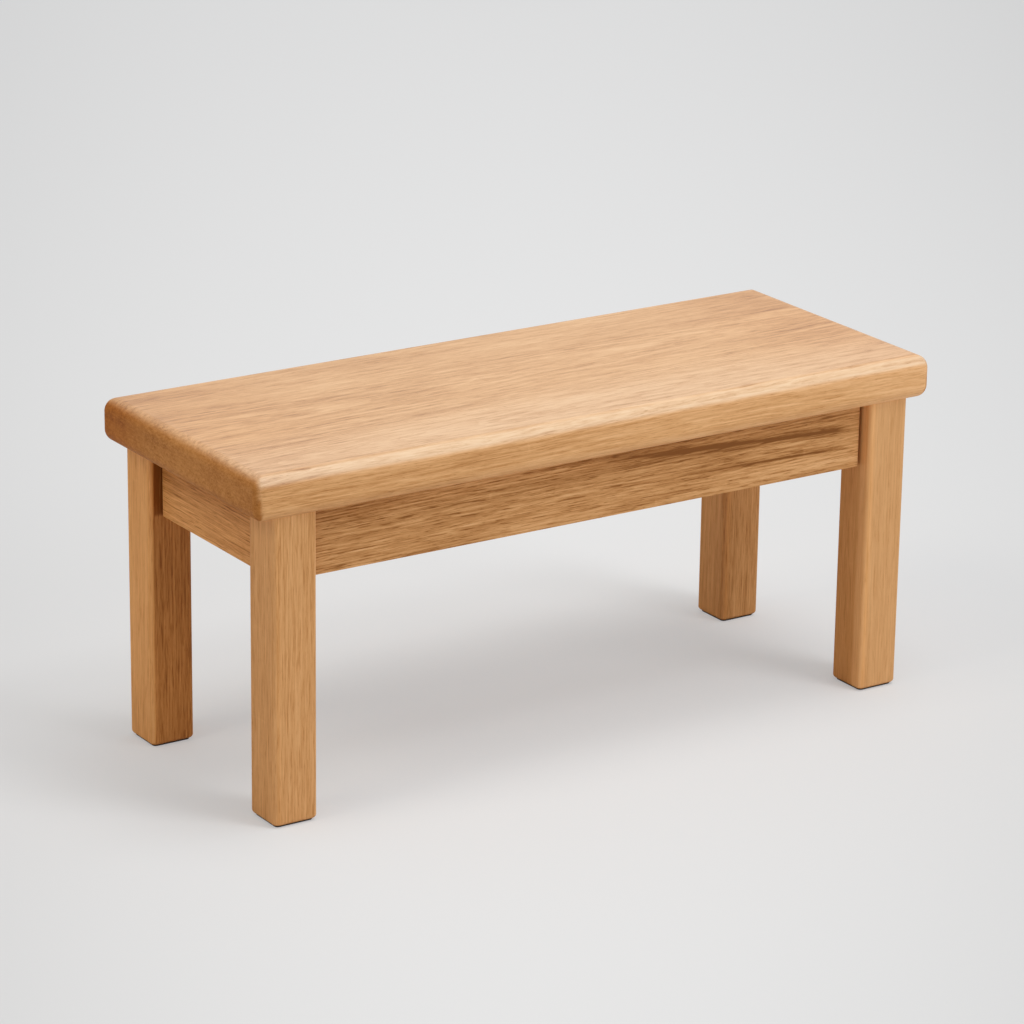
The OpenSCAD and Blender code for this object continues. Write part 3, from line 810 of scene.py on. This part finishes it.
def rail(name, length, place, dowels, screws, mortises):
    """An apron: place turns (along, out, up) into a point, with out measured from its inner face."""
    thick = RAIL_OUT - RAIL_IN
    half = length / 2
    shape = bmesh.new()
    outline = [
        (-half, 0), (half, 0), (half, thick - REVEAL_DEPTH), (half - REVEAL_W, thick - REVEAL_DEPTH),
        (half - REVEAL_W, thick), (REVEAL_W - half, thick), (REVEAL_W - half, thick - REVEAL_DEPTH),
        (-half, thick - REVEAL_DEPTH)]
    prism(shape, outline, RAIL_Z, SEAT_Z)
    face = half - REVEAL_W

    def same(first, second):
        return abs(first - second) < 0.1

    def upright(a, b):
        return same(a.x, b.x) and same(a.y, thick) and abs(a.z - b.z) > 30 and same(abs(a.x), face)

    def lower(a, b):
        on_face = same(a.y, 0) or same(a.y, thick)
        return on_face and same(a.y, b.y) and max(a.z, b.z) < RAIL_Z + 0.1 and abs(a.x - b.x) > 5

    ease(shape, 0.7, 3, upright)
    ease(shape, 2.0, 5, lower)
    for vert in shape.verts:
        vert.co = place(*vert.co)
    made = finished(name, shape)
    cuts = bmesh.new()
    for point, aim in dowels:
        dowel_bit(cuts, point, opposite(aim))
    for point, aim in screws:
        pilot_bit(cuts, back_of(point, aim, 1 - BRACE_UNDER_HEAD), aim)
    made = cut_from(made, finished("cuts", cuts))
    slots = bmesh.new()
    for along in mortises:
        low = place(along - 21, -1, TONGUE_LOW - 0.5)
        high = place(along + 21, 10, TONGUE_HIGH)
        box_bit(slots, [min(a, b) for a, b in zip(low, high)], [max(a, b) for a, b in zip(low, high)])
    return smooth(cut_from(made, finished("slots", slots)))


def corner_brace(name, sx, sy):
    """A thick block across a corner, with its bolt hole and four counterbored screw holes."""
    near, far, tip = BRACE_NEAR, BRACE_FAR, BRACE_TIP
    shape = bmesh.new()
    outline = [(near, 0), (far - tip, 0), (far - tip, tip), (tip, far - tip), (0, far - tip), (0, near)]
    prism(shape, outline, -BRACE_HALF_H, BRACE_HALF_H)
    ease(shape, 0.9, 3, lambda a, b: True)
    for vert in shape.verts:
        vert.co = at_corner(sx, sy, *vert.co)
    made = finished(name, shape)
    cuts = bmesh.new()
    drill_bit(cuts, bolt_point(sx, sy, -8), corner_aim(sx, sy, 1, 1), BOLT_R + 0.5, 45)
    for point, aim in brace_screws(sx, sy):
        pilot_bit(cuts, back_of(point, aim, 1), aim, BRACE_UNDER_HEAD + 4)
    made = cut_from(made, finished("cuts", cuts))
    pockets = bmesh.new()
    for point, aim in brace_screws(sx, sy):
        drill_bit(pockets, point, opposite(aim), COUNTERBORE_R, 56)
    return smooth(cut_from(made, finished("pockets", pockets)))


def top_button(name, place, reach):
    """A block with a tongue that hooks into its apron, and a counterbore for its screw."""
    shape = bmesh.new()
    low, high = SEAT_Z - BUTTON_H, SEAT_Z
    profile = [
        (0, low), (BUTTON_REACH, low), (BUTTON_REACH, high), (0, high),
        (0, TONGUE_HIGH), (-TONGUE_REACH, TONGUE_HIGH), (-TONGUE_REACH, TONGUE_LOW), (0, TONGUE_LOW)]
    prism(shape, profile, -BUTTON_HALF_W, BUTTON_HALF_W, lambda out, z, across: (out, across, z))

    def outer(a, b):
        inner = abs(a.x) < 0.1 and abs(b.x) < 0.1 and abs(a.z - b.z) < 0.1
        return not inner

    ease(shape, 0.8, 3, outer)
    for vert in shape.verts:
        vert.co = button_point(place, reach, *vert.co)
    made = finished(name, shape)
    cuts = bmesh.new()
    pilot_bit(cuts, button_point(place, reach, BUTTON_REACH / 2, 0, low + 1), (0, 0, 1), BUTTON_H + 2)
    made = cut_from(made, finished("cuts", cuts))
    pocket = bmesh.new()
    centre = button_point(place, reach, BUTTON_REACH / 2, 0, low - 2)
    drill_bit(pocket, centre, (0, 0, 1), COUNTERBORE_R, BUTTON_POCKET + 2)
    return smooth(cut_from(made, finished("pocket", pocket)))


def foot_pad(name, node):
    """A felt pad, a little fuller in the middle of its edge than at its faces."""
    low, high = corners(node)
    centre = ((low[0] + high[0]) / 2, (low[1] + high[1]) / 2)
    half = (high[0] - low[0]) / 2
    corner_radius = 5
    shape = bmesh.new()
    rings = []
    for inset, z in ((0.9, 0.0), (0.35, 0.12), (0.0, 0.6), (0.0, 1.3), (0.25, 1.85), (0.5, 2.0)):
        outline = rounded_outline(half - inset, half - inset, corner_radius - inset, 8)
        rings.append([shape.verts.new((centre[0] + x, centre[1] + y, z)) for x, y in outline])
    skin(shape, rings)
    cap(shape, rings)
    return smooth(finished(name, shape), 50)


# Fasteners

def cross_recess():
    """The driver's cross in a screw's head, to be cut from it. Its point faces up the screw."""
    arm, web = 2.3, 0.55
    outline = [(arm, -web), (arm, web), (web, web), (web, arm), (-web, arm), (-web, web),
               (-arm, web), (-arm, -web), (-web, -web), (-web, -arm), (web, -arm), (web, -web)]
    mouth, bottom, bottom_share = -3.4, -1.2, 0.55

    def taper(x, y, z):
        share = bottom_share if z == bottom else 1.0
        return (x * share, y * share, z)

    shape = bmesh.new()
    prism(shape, outline, mouth, bottom, taper)
    return finished("recess", shape)


def wood_screw(length):
    """A pan-headed wood screw. Its head's underside is at the origin and its point is up."""
    head = [(0.0, -3.0), (2.6, -2.96), (3.6, -2.7), (4.2, -2.2), (4.48, -1.4), (4.5, -0.35), (4.3, 0.0)]
    plain = length * 0.3
    shank = [(2.2, 0.0), (2.2, plain), (2.2, length - 7.0), (0.6, length - 0.6), (0.0, length)]
    screw = turned("screw", head + shank, 20, (plain, length - 0.8, 2.0, 0.65))
    return smooth(cut_from(screw, cross_recess()), 45)


def hanger_bolt():
    """A stud with wood threads for the leg at its foot and machine threads for the nut at its top."""
    length = BOLT_TO - BOLT_FROM
    waist = 40.0
    foot = turned("bolt_foot", [
        (0, 0), (1.4, 0.0), (3.9, 6.0), (3.95, 32.0), (3.7, 33.0), (3.7, waist), (0, waist),
    ], 22, (1.0, 32.0, 3.2, 1.0))
    top = turned("bolt_top", [
        (0, waist - 1), (3.7, waist - 1), (3.7, waist + 4), (4.0, waist + 5),
        (4.0, length - 1), (3.0, length), (0, length),
    ], 22, (waist + 5, length, 1.25, 0.55))
    return smooth(cut_from(foot, top, "UNION"), 60)


def washer():
    """A stamped washer with its rims eased all round."""
    outline = [
        (4.5, 0.15), (4.6, 0.0), (10.8, 0.0), (11.0, 0.2),
        (11.0, 1.35), (10.7, 1.6), (4.6, 1.6), (4.5, 1.45)]
    sides = 48
    shape = bmesh.new()
    rings = []
    for radius, z in outline:
        rings.append([shape.verts.new((*round_point(radius, i, sides), z)) for i in range(sides)])
    skin(shape, rings + rings[:1])
    return smooth(finished("washer", shape), 30)


def nut():
    """A hexagonal nut with both rims bevelled."""
    across, high = 13.0, 6.5
    corner = across / 2 / math.cos(math.pi / 6)
    inset, drop = 1.1, 0.65
    bevelled = turned("nut", [
        (0, 0), (corner - inset, 0), (corner, drop),
        (corner, high - drop), (corner - inset, high), (0, high),
    ], 48)
    hexagon = bmesh.new()
    prism(hexagon, [round_point(corner, k, 6) for k in range(6)], -1, high + 1)
    bevelled = cut_from(bevelled, finished("hexagon", hexagon), "INTERSECT")
    bore = bmesh.new()
    drill_bit(bore, (0, 0, -1), (0, 0, 1), BOLT_R + PLAY, high + 2, 36)
    return smooth(cut_from(bevelled, finished("bore", bore)), 28)


def dowel():
    """A beech dowel with chamfered ends and pressed flutes that let the glue out."""
    half, full, end = DOWEL_HALF, DOWEL_R, 3.9
    chamfer = 1.2
    sides, flutes, flute_depth = 60, 12, 0.35
    outline = [
        (0, -half), (end, -half), (full, chamfer - half),
        (full, half - chamfer), (end, half), (0, half)]
    shape = bmesh.new()
    rings = []
    for radius, z in outline:
        ring = []
        for i in range(sides):
            flute = flute_depth * max(0.0, math.cos(math.tau * i * flutes / sides)) if radius == full else 0.0
            ring.append(shape.verts.new((*round_point(radius - flute, i, sides), z)))
        rings.append(ring)
    skin(shape, rings)
    return smooth(finished("dowel", shape), 30)


# Making and dressing the bench

def dress(made, material, slot, *nodes):
    """Gives a finished piece its material, its place in the frame and the CAD nodes that it stands for."""
    made.data.materials.clear()
    made.data.materials.append(material)
    for face in made.data.polygons:
        face.material_index = 0
    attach(made, "root")
    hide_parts(*nodes)


boards = (
    ("front_seat_board", "seat_board_front", seat_low[1], seat_joints[0],
     oak("oak_front_seat_board", "x", (-150, 395), (0.004, 0.02), 3.4, 11.0, 0.05, 0.0, 0.95, seat=1.0)),
    ("middle_seat_board", "seat_board_middle", seat_joints[0], seat_joints[1],
     oak("oak_middle_seat_board", "x", (15, 340), (0.02, -0.03), 4.2, 23.0, 0.03, 0.0, 0.95, seat=1.0)),
    ("rear_seat_board", "seat_board_rear", seat_joints[1], seat_high[1],
     oak("oak_rear_seat_board", "x", (-40, 470), (0.0, 0.0), 3.0, 37.0, 0.01, 0.0, 0.80, seat=1.0)),
)
for piece, node, low_y, high_y, finish in boards:
    dress(seat_board(piece, low_y, high_y), finish, "oak_seat", node)

# Each leg's oak: pith, lean, ring, seed, tone, warmth, contrast, streaks and painted light changes
leg_looks = {
    (-1, -1): ((-520, -60), (0.01, 0.0), 3.3, 41.0, -0.05, 0.08, 0.58, (), (
        # Painted light: the outer left face is lighter and warmer
        (((1, -460, -470),), -0.05, 0.25),)),
    (1, -1): ((380, -240), (-0.01, 0.01), 3.6, 53.0, 0.02, -0.08, 0.36, (), (
        # Painted shade on the inner face's back part, and painted light on its front part
        (((1, 426, 414), (2, -171, -162)), 0.09, 0.62),
        (((1, 426, 414), (2, -162, -171)), -0.18, 0.55))),
    (-1, 1): ((-560, 260), (0.0, 0.01), 3.2, 67.0, 0.13, 0.72, 0.58, (), (
        # Painted shade on the front face, and more of it on the strip beside the left apron above its lower
        # edge
        (((2, 129, 124), (1, -470, -465)), 0.48, -0.10),
        (((2, 129, 124), (1, -467, -463), (0, 305, 311)), 0.36, 0.20))),
    (1, 1): ((540, 90), (0.01, -0.01), 3.8, 79.0, -0.05, 0.00, 0.50, (), (
        # Painted shade on the front face, and painted light, lighter and warmer, on the inner face
        (((2, 136, 125),), 0.18, -0.04),
        (((1, 426, 414),), -0.07, 0.50))),
}
square_leg = leg_tree()
for (sx, sy), label in LEG_NODES.items():
    middle = (sx * (LEG_IN[0] + LEG_OUT[0]) / 2 * MM, sy * (LEG_IN[1] + LEG_OUT[1]) / 2 * MM, leg_low[2] * MM)
    post = leg_cuts(sx, sy)
    post.name = f"{label}_post"
    finish = oak(f"oak_{label}_leg", "z", *leg_looks[sx, sy])
    square_leg.grow(
        post, finish, Side=(LEG_OUT[0] - LEG_IN[0]) * MM, Height=(leg_high[2] - leg_low[2] + LEG_SCRIBE) * MM,
        Edge_Radius=LEG_EDGE_R * MM, Foot_Radius=LEG_FOOT_R * MM, Edge_Steps=9, Foot_Steps=6, Place=middle)
    seat = bmesh.new()
    seat_blank(seat)
    cut_from(post, finished("seat_above", seat))
    dress(smooth(post), finish, "oak_frame", f"{label}_leg")

# Dark streaks on the front rail's face, and a broad pale one below them to the right
front_streaks = (
    (379.3, -0.0445, 5.6, 0, 402, 0.62),
    (373.2, -0.0445, 2.2, 60, 380, 0.30),
    (386.5, -0.0500, 2.6, 200, 402, 0.30),
    (346.8, -0.0240, 3.0, 90, 402, 0.46),
    (352.5, -0.0300, 1.8, 210, 398, 0.26),
    (330.0, -0.0200, 18.0, 150, 500, -0.14),
)
# Each rail's oak: pith, lean, ring, seed, tone, warmth, contrast, streaks and painted light changes
rails = (
    ("front_rail", "front_apron", "x", -1, (-300, 20), (0.0, 0.012), 3.5, 97.0, -0.16, -0.04, 1.00,
     # Painted shadow under the seat's overhang, and painted light in the crease right under the seat
     front_streaks, ((((2, 345, 384),), 0.09, 0.04), (((2, 385, 391),), -0.12, 0.0))),
    ("rear_rail", "rear_apron", "x", 1, (320, 60), (0.0, -0.02), 3.3, 103.0, -0.05, 0.02, 0.80),
    ("left_rail", "left_apron", "y", -1, (30, -650), (0.01, 0.0), 3.4, 113.0, -0.08, 0.62, 0.90, (),
     # Painted shadow under the seat's overhang, darker towards the top
     ((((1, 351, 361),), 0.08, 0.06), (((1, 363, 370),), 0.12, 0.04))),
    ("right_rail", "right_apron", "y", 1, (60, 690), (-0.02, 0.0), 3.6, 127.0, -0.05, 0.03, 0.70),
)
for piece, node, grain, side, *looks in rails:
    finish = oak("oak_" + node, grain, *looks)
    across = "xy".index(grain)

    def on_its_side(along, out, up, across=across, side=side):
        """A long rail runs along X and a short one along Y."""
        return (side * (END_IN + out), along, up) if across else (along, side * (RAIL_IN + out), up)

    ends = [(side, other) if across else (other, side) for other in SIDES]
    dowels = [row for end in ends for row in (long_dowels, short_dowels)[across](*end)]
    screws = [row for end in ends for row in brace_screws(*end) if abs(row[1][1 - across]) > 0.5]
    mortises = (0,) if across else (-BUTTON_SPACING, 0, BUTTON_SPACING)
    made = rail(piece, 2 * LEG_IN[across], on_its_side, dowels, screws, mortises)
    dress(made, finish, "oak_frame", node)

for (sx, sy), label in LEG_NODES.items():
    grain = 45 if sx * sy < 0 else -45
    finish = beech(f"beech_{label}_brace", grain, 5.0 + 3 * sx + sy)
    dress(corner_brace(f"{label}_brace", sx, sy), finish, "beech", f"{label}_corner_brace")
    made = foot_pad(f"{label}_pad", f"{label}_foot_pad")
    dress(made, felt(f"felt_{label}_pad"), "dark_felt", f"{label}_foot_pad")

button_wood = {"x": beech("beech_end_buttons", "x", 31.0, 0.03), "y": beech("beech_side_buttons", "y", 43.0)}
for node, place, reach in button_places():
    made = top_button(node.replace("_top", ""), place, reach)
    dress(made, button_wood["x" if reach[0] else "y"], "beech", node)

in_place = fastener_tree()
plate = zinc("zinc_fasteners")
brace_rows = [row for corner in LEG_NODES for row in brace_screws(*corner)]
button_rows = [(button_point(place, reach, BUTTON_REACH / 2, 0, SEAT_Z - BUTTON_H + BUTTON_POCKET), (0, 0, 1))
               for _, place, reach in button_places()]
bolt_rows, washer_rows, nut_rows = [
    [(bolt_point(*corner, reach), corner_aim(*corner, 1, 1)) for corner in LEG_NODES]
    for reach in (BOLT_FROM, WASHER_AT, NUT_AT)]
dowel_rows = [row for corner in LEG_NODES for row in (*long_dowels(*corner), *short_dowels(*corner))]

dowel_wood = beech("beech_dowels", "x", 59.0, -0.03)
fastener_sets = (
    ("brace_wood_screws", wood_screw(29.0), brace_rows, plate, "zinc_steel", "brace_screws", 3),
    ("button_wood_screws", wood_screw(35.0), button_rows, plate, "zinc_steel", "button_screws", 5),
    ("leg_bolts", hanger_bolt(), bolt_rows, plate, "zinc_steel", "hanger_bolts", 7),
    ("bolt_washers", washer(), washer_rows, plate, "zinc_steel", "hanger_washers", 11),
    ("bolt_nuts", nut(), nut_rows, plate, "zinc_steel", "hanger_nuts", 13),
    ("fluted_dowels", dowel(), dowel_rows, dowel_wood, "beech", "apron_dowels", 17),
)
for name, fastener, rows, finish, slot, node, seed in fastener_sets:
    made = placed_fasteners(name, in_place, fastener, rows, finish, seed)
    dress(made, finish, slot, node)


# Stage, light and camera

# The photo's direction of view along the floor, in which the floor's glow changes
VIEW_X, VIEW_Y = 0.547, 0.837
GLOW_SHARE = 0.45
FLOOR_HALF = 40000.0
LAMP_TARGET = (0.0, 0.0, 0.2)


def stage_floor():
    """A wide pale studio floor.

    A little under half of what the camera sees of it is a soft glow, so that shadows stay light. The glow
    rises away from the camera and falls off to both sides, in metres on the floor.
    """
    paint = Finish("studio_floor")
    x, y, _ = paint.split(paint.point)
    behind = x * VIEW_X + y * VIEW_Y
    framed = behind.rise(-3.0, -1.4)
    behind = behind.most(-1.4)
    half_width = (behind + 4.9) * 0.12
    aside = ((x * VIEW_Y - y * VIEW_X) / half_width).most(-1.25).least(1.25) * framed
    level = 0.794 + behind * 0.0459 - behind * behind * 0.0015 - aside * 0.018 - aside * aside * 0.1215
    level = level.most(0.55).least(0.96)
    grain = paint.noise(paint.point, (40.0, 40.0, 40.0), 1.0, 3.0)
    shine = paint.add("ShaderNodeEmission", None, {"Color": paint.join(level, level, level)})
    path = paint.add("ShaderNodeLightPath").socket.node
    camera = Num(paint, path.outputs["Is Camera Ray"])
    pale = paint.mix(camera, colour(0.75, 0.75, 0.75), colour(0.802, 0.81, 0.816))
    paint.wire(pale, 0.85 + grain * 0.05, grain, 0.0002, 0.2, specular=0.1)
    plain = Num(paint, paint.shader.outputs[0])
    seen = paint.add("ShaderNodeMixShader", None, {0: camera * GLOW_SHARE, 1: plain, 2: shine})
    paint.nodes.links.new(seen.socket, paint.nodes.nodes["Material Output"].inputs["Surface"])
    shape = bmesh.new()
    bmesh.ops.create_grid(shape, x_segments=4, y_segments=4, size=FLOOR_HALF)
    floor = finished("studio_floor", shape)
    floor.data.materials.append(paint.material)


def soft_lamp(name, place, size, power, tint=(1.0, 1.0, 1.0)):
    """A square lamp that faces the bench: its place and side in metres, its power in watts."""
    lamp = bpy.data.lights.new(name, "AREA")
    lamp.shape = "RECTANGLE"
    lamp.size = lamp.size_y = size
    lamp.energy = power
    lamp.color = tint
    made = bpy.data.objects.new(name, lamp)
    made.location = place
    made.rotation_euler = (Vector(LAMP_TARGET) - Vector(place)).to_track_quat("-Z", "Y").to_euler()
    bpy.context.scene.collection.objects.link(made)


def surroundings(level, seen):
    """An even pale room. The camera and glossy surfaces see it paler than it shines."""
    world = bpy.data.worlds.new("studio")
    world.use_nodes = True
    bpy.context.scene.world = world
    room = Tree(world.node_tree)
    shine = world.node_tree.nodes["Background"]
    path = room.add("ShaderNodeLightPath").socket.node
    looks = Num(room, path.outputs["Is Camera Ray"]).most(Num(room, path.outputs["Is Glossy Ray"]))
    shade = room.mix(looks, colour(level, level, level * 1.01), colour(seen, seen, seen))
    world.node_tree.links.new(shade.socket, shine.inputs["Color"])


stage_floor()
surroundings(0.42, 0.80)
soft_lamp("overhead", (0.72, -0.65, 6.1), 2.6, 126.0)
soft_lamp("key", (1.55, -2.68, 5.37), 1.2, 48.0)
soft_lamp("low_key", (2.74, -4.74, 2.91), 2.6, 71.0)
soft_lamp("left_fill", (-3.99, 0.0, 4.75), 1.8, 46.0, (1.0, 0.90, 0.76))

# The photo's viewpoint, fitted to the bench's edges: its place in millimetres, and its right and up
CAMERA_PLACE = (-2799.706, -4217.040, 1981.287)
CAMERA_RIGHT = (0.836982, -0.547071, 0.013218)
CAMERA_UP = (0.164966, 0.275270, 0.947108)

camera = bpy.data.cameras.new("camera")
camera.lens = 147.378
camera.sensor_width = 36.0
camera.clip_start, camera.clip_end = 0.1, 200.0
seen_from = bpy.data.objects.new("camera", camera)
right, up = Vector(CAMERA_RIGHT), Vector(CAMERA_UP)
back = right.cross(up).normalized()
up = back.cross(right).normalized()
right = up.cross(back).normalized()
turn = Matrix((right, up, back)).transposed().to_4x4()
seen_from.matrix_world = Matrix.Translation(Vector(CAMERA_PLACE) * MM) @ turn
bpy.context.scene.collection.objects.link(seen_from)
bpy.context.scene.camera = seen_from
bpy.context.scene.view_settings.view_transform = "Standard"
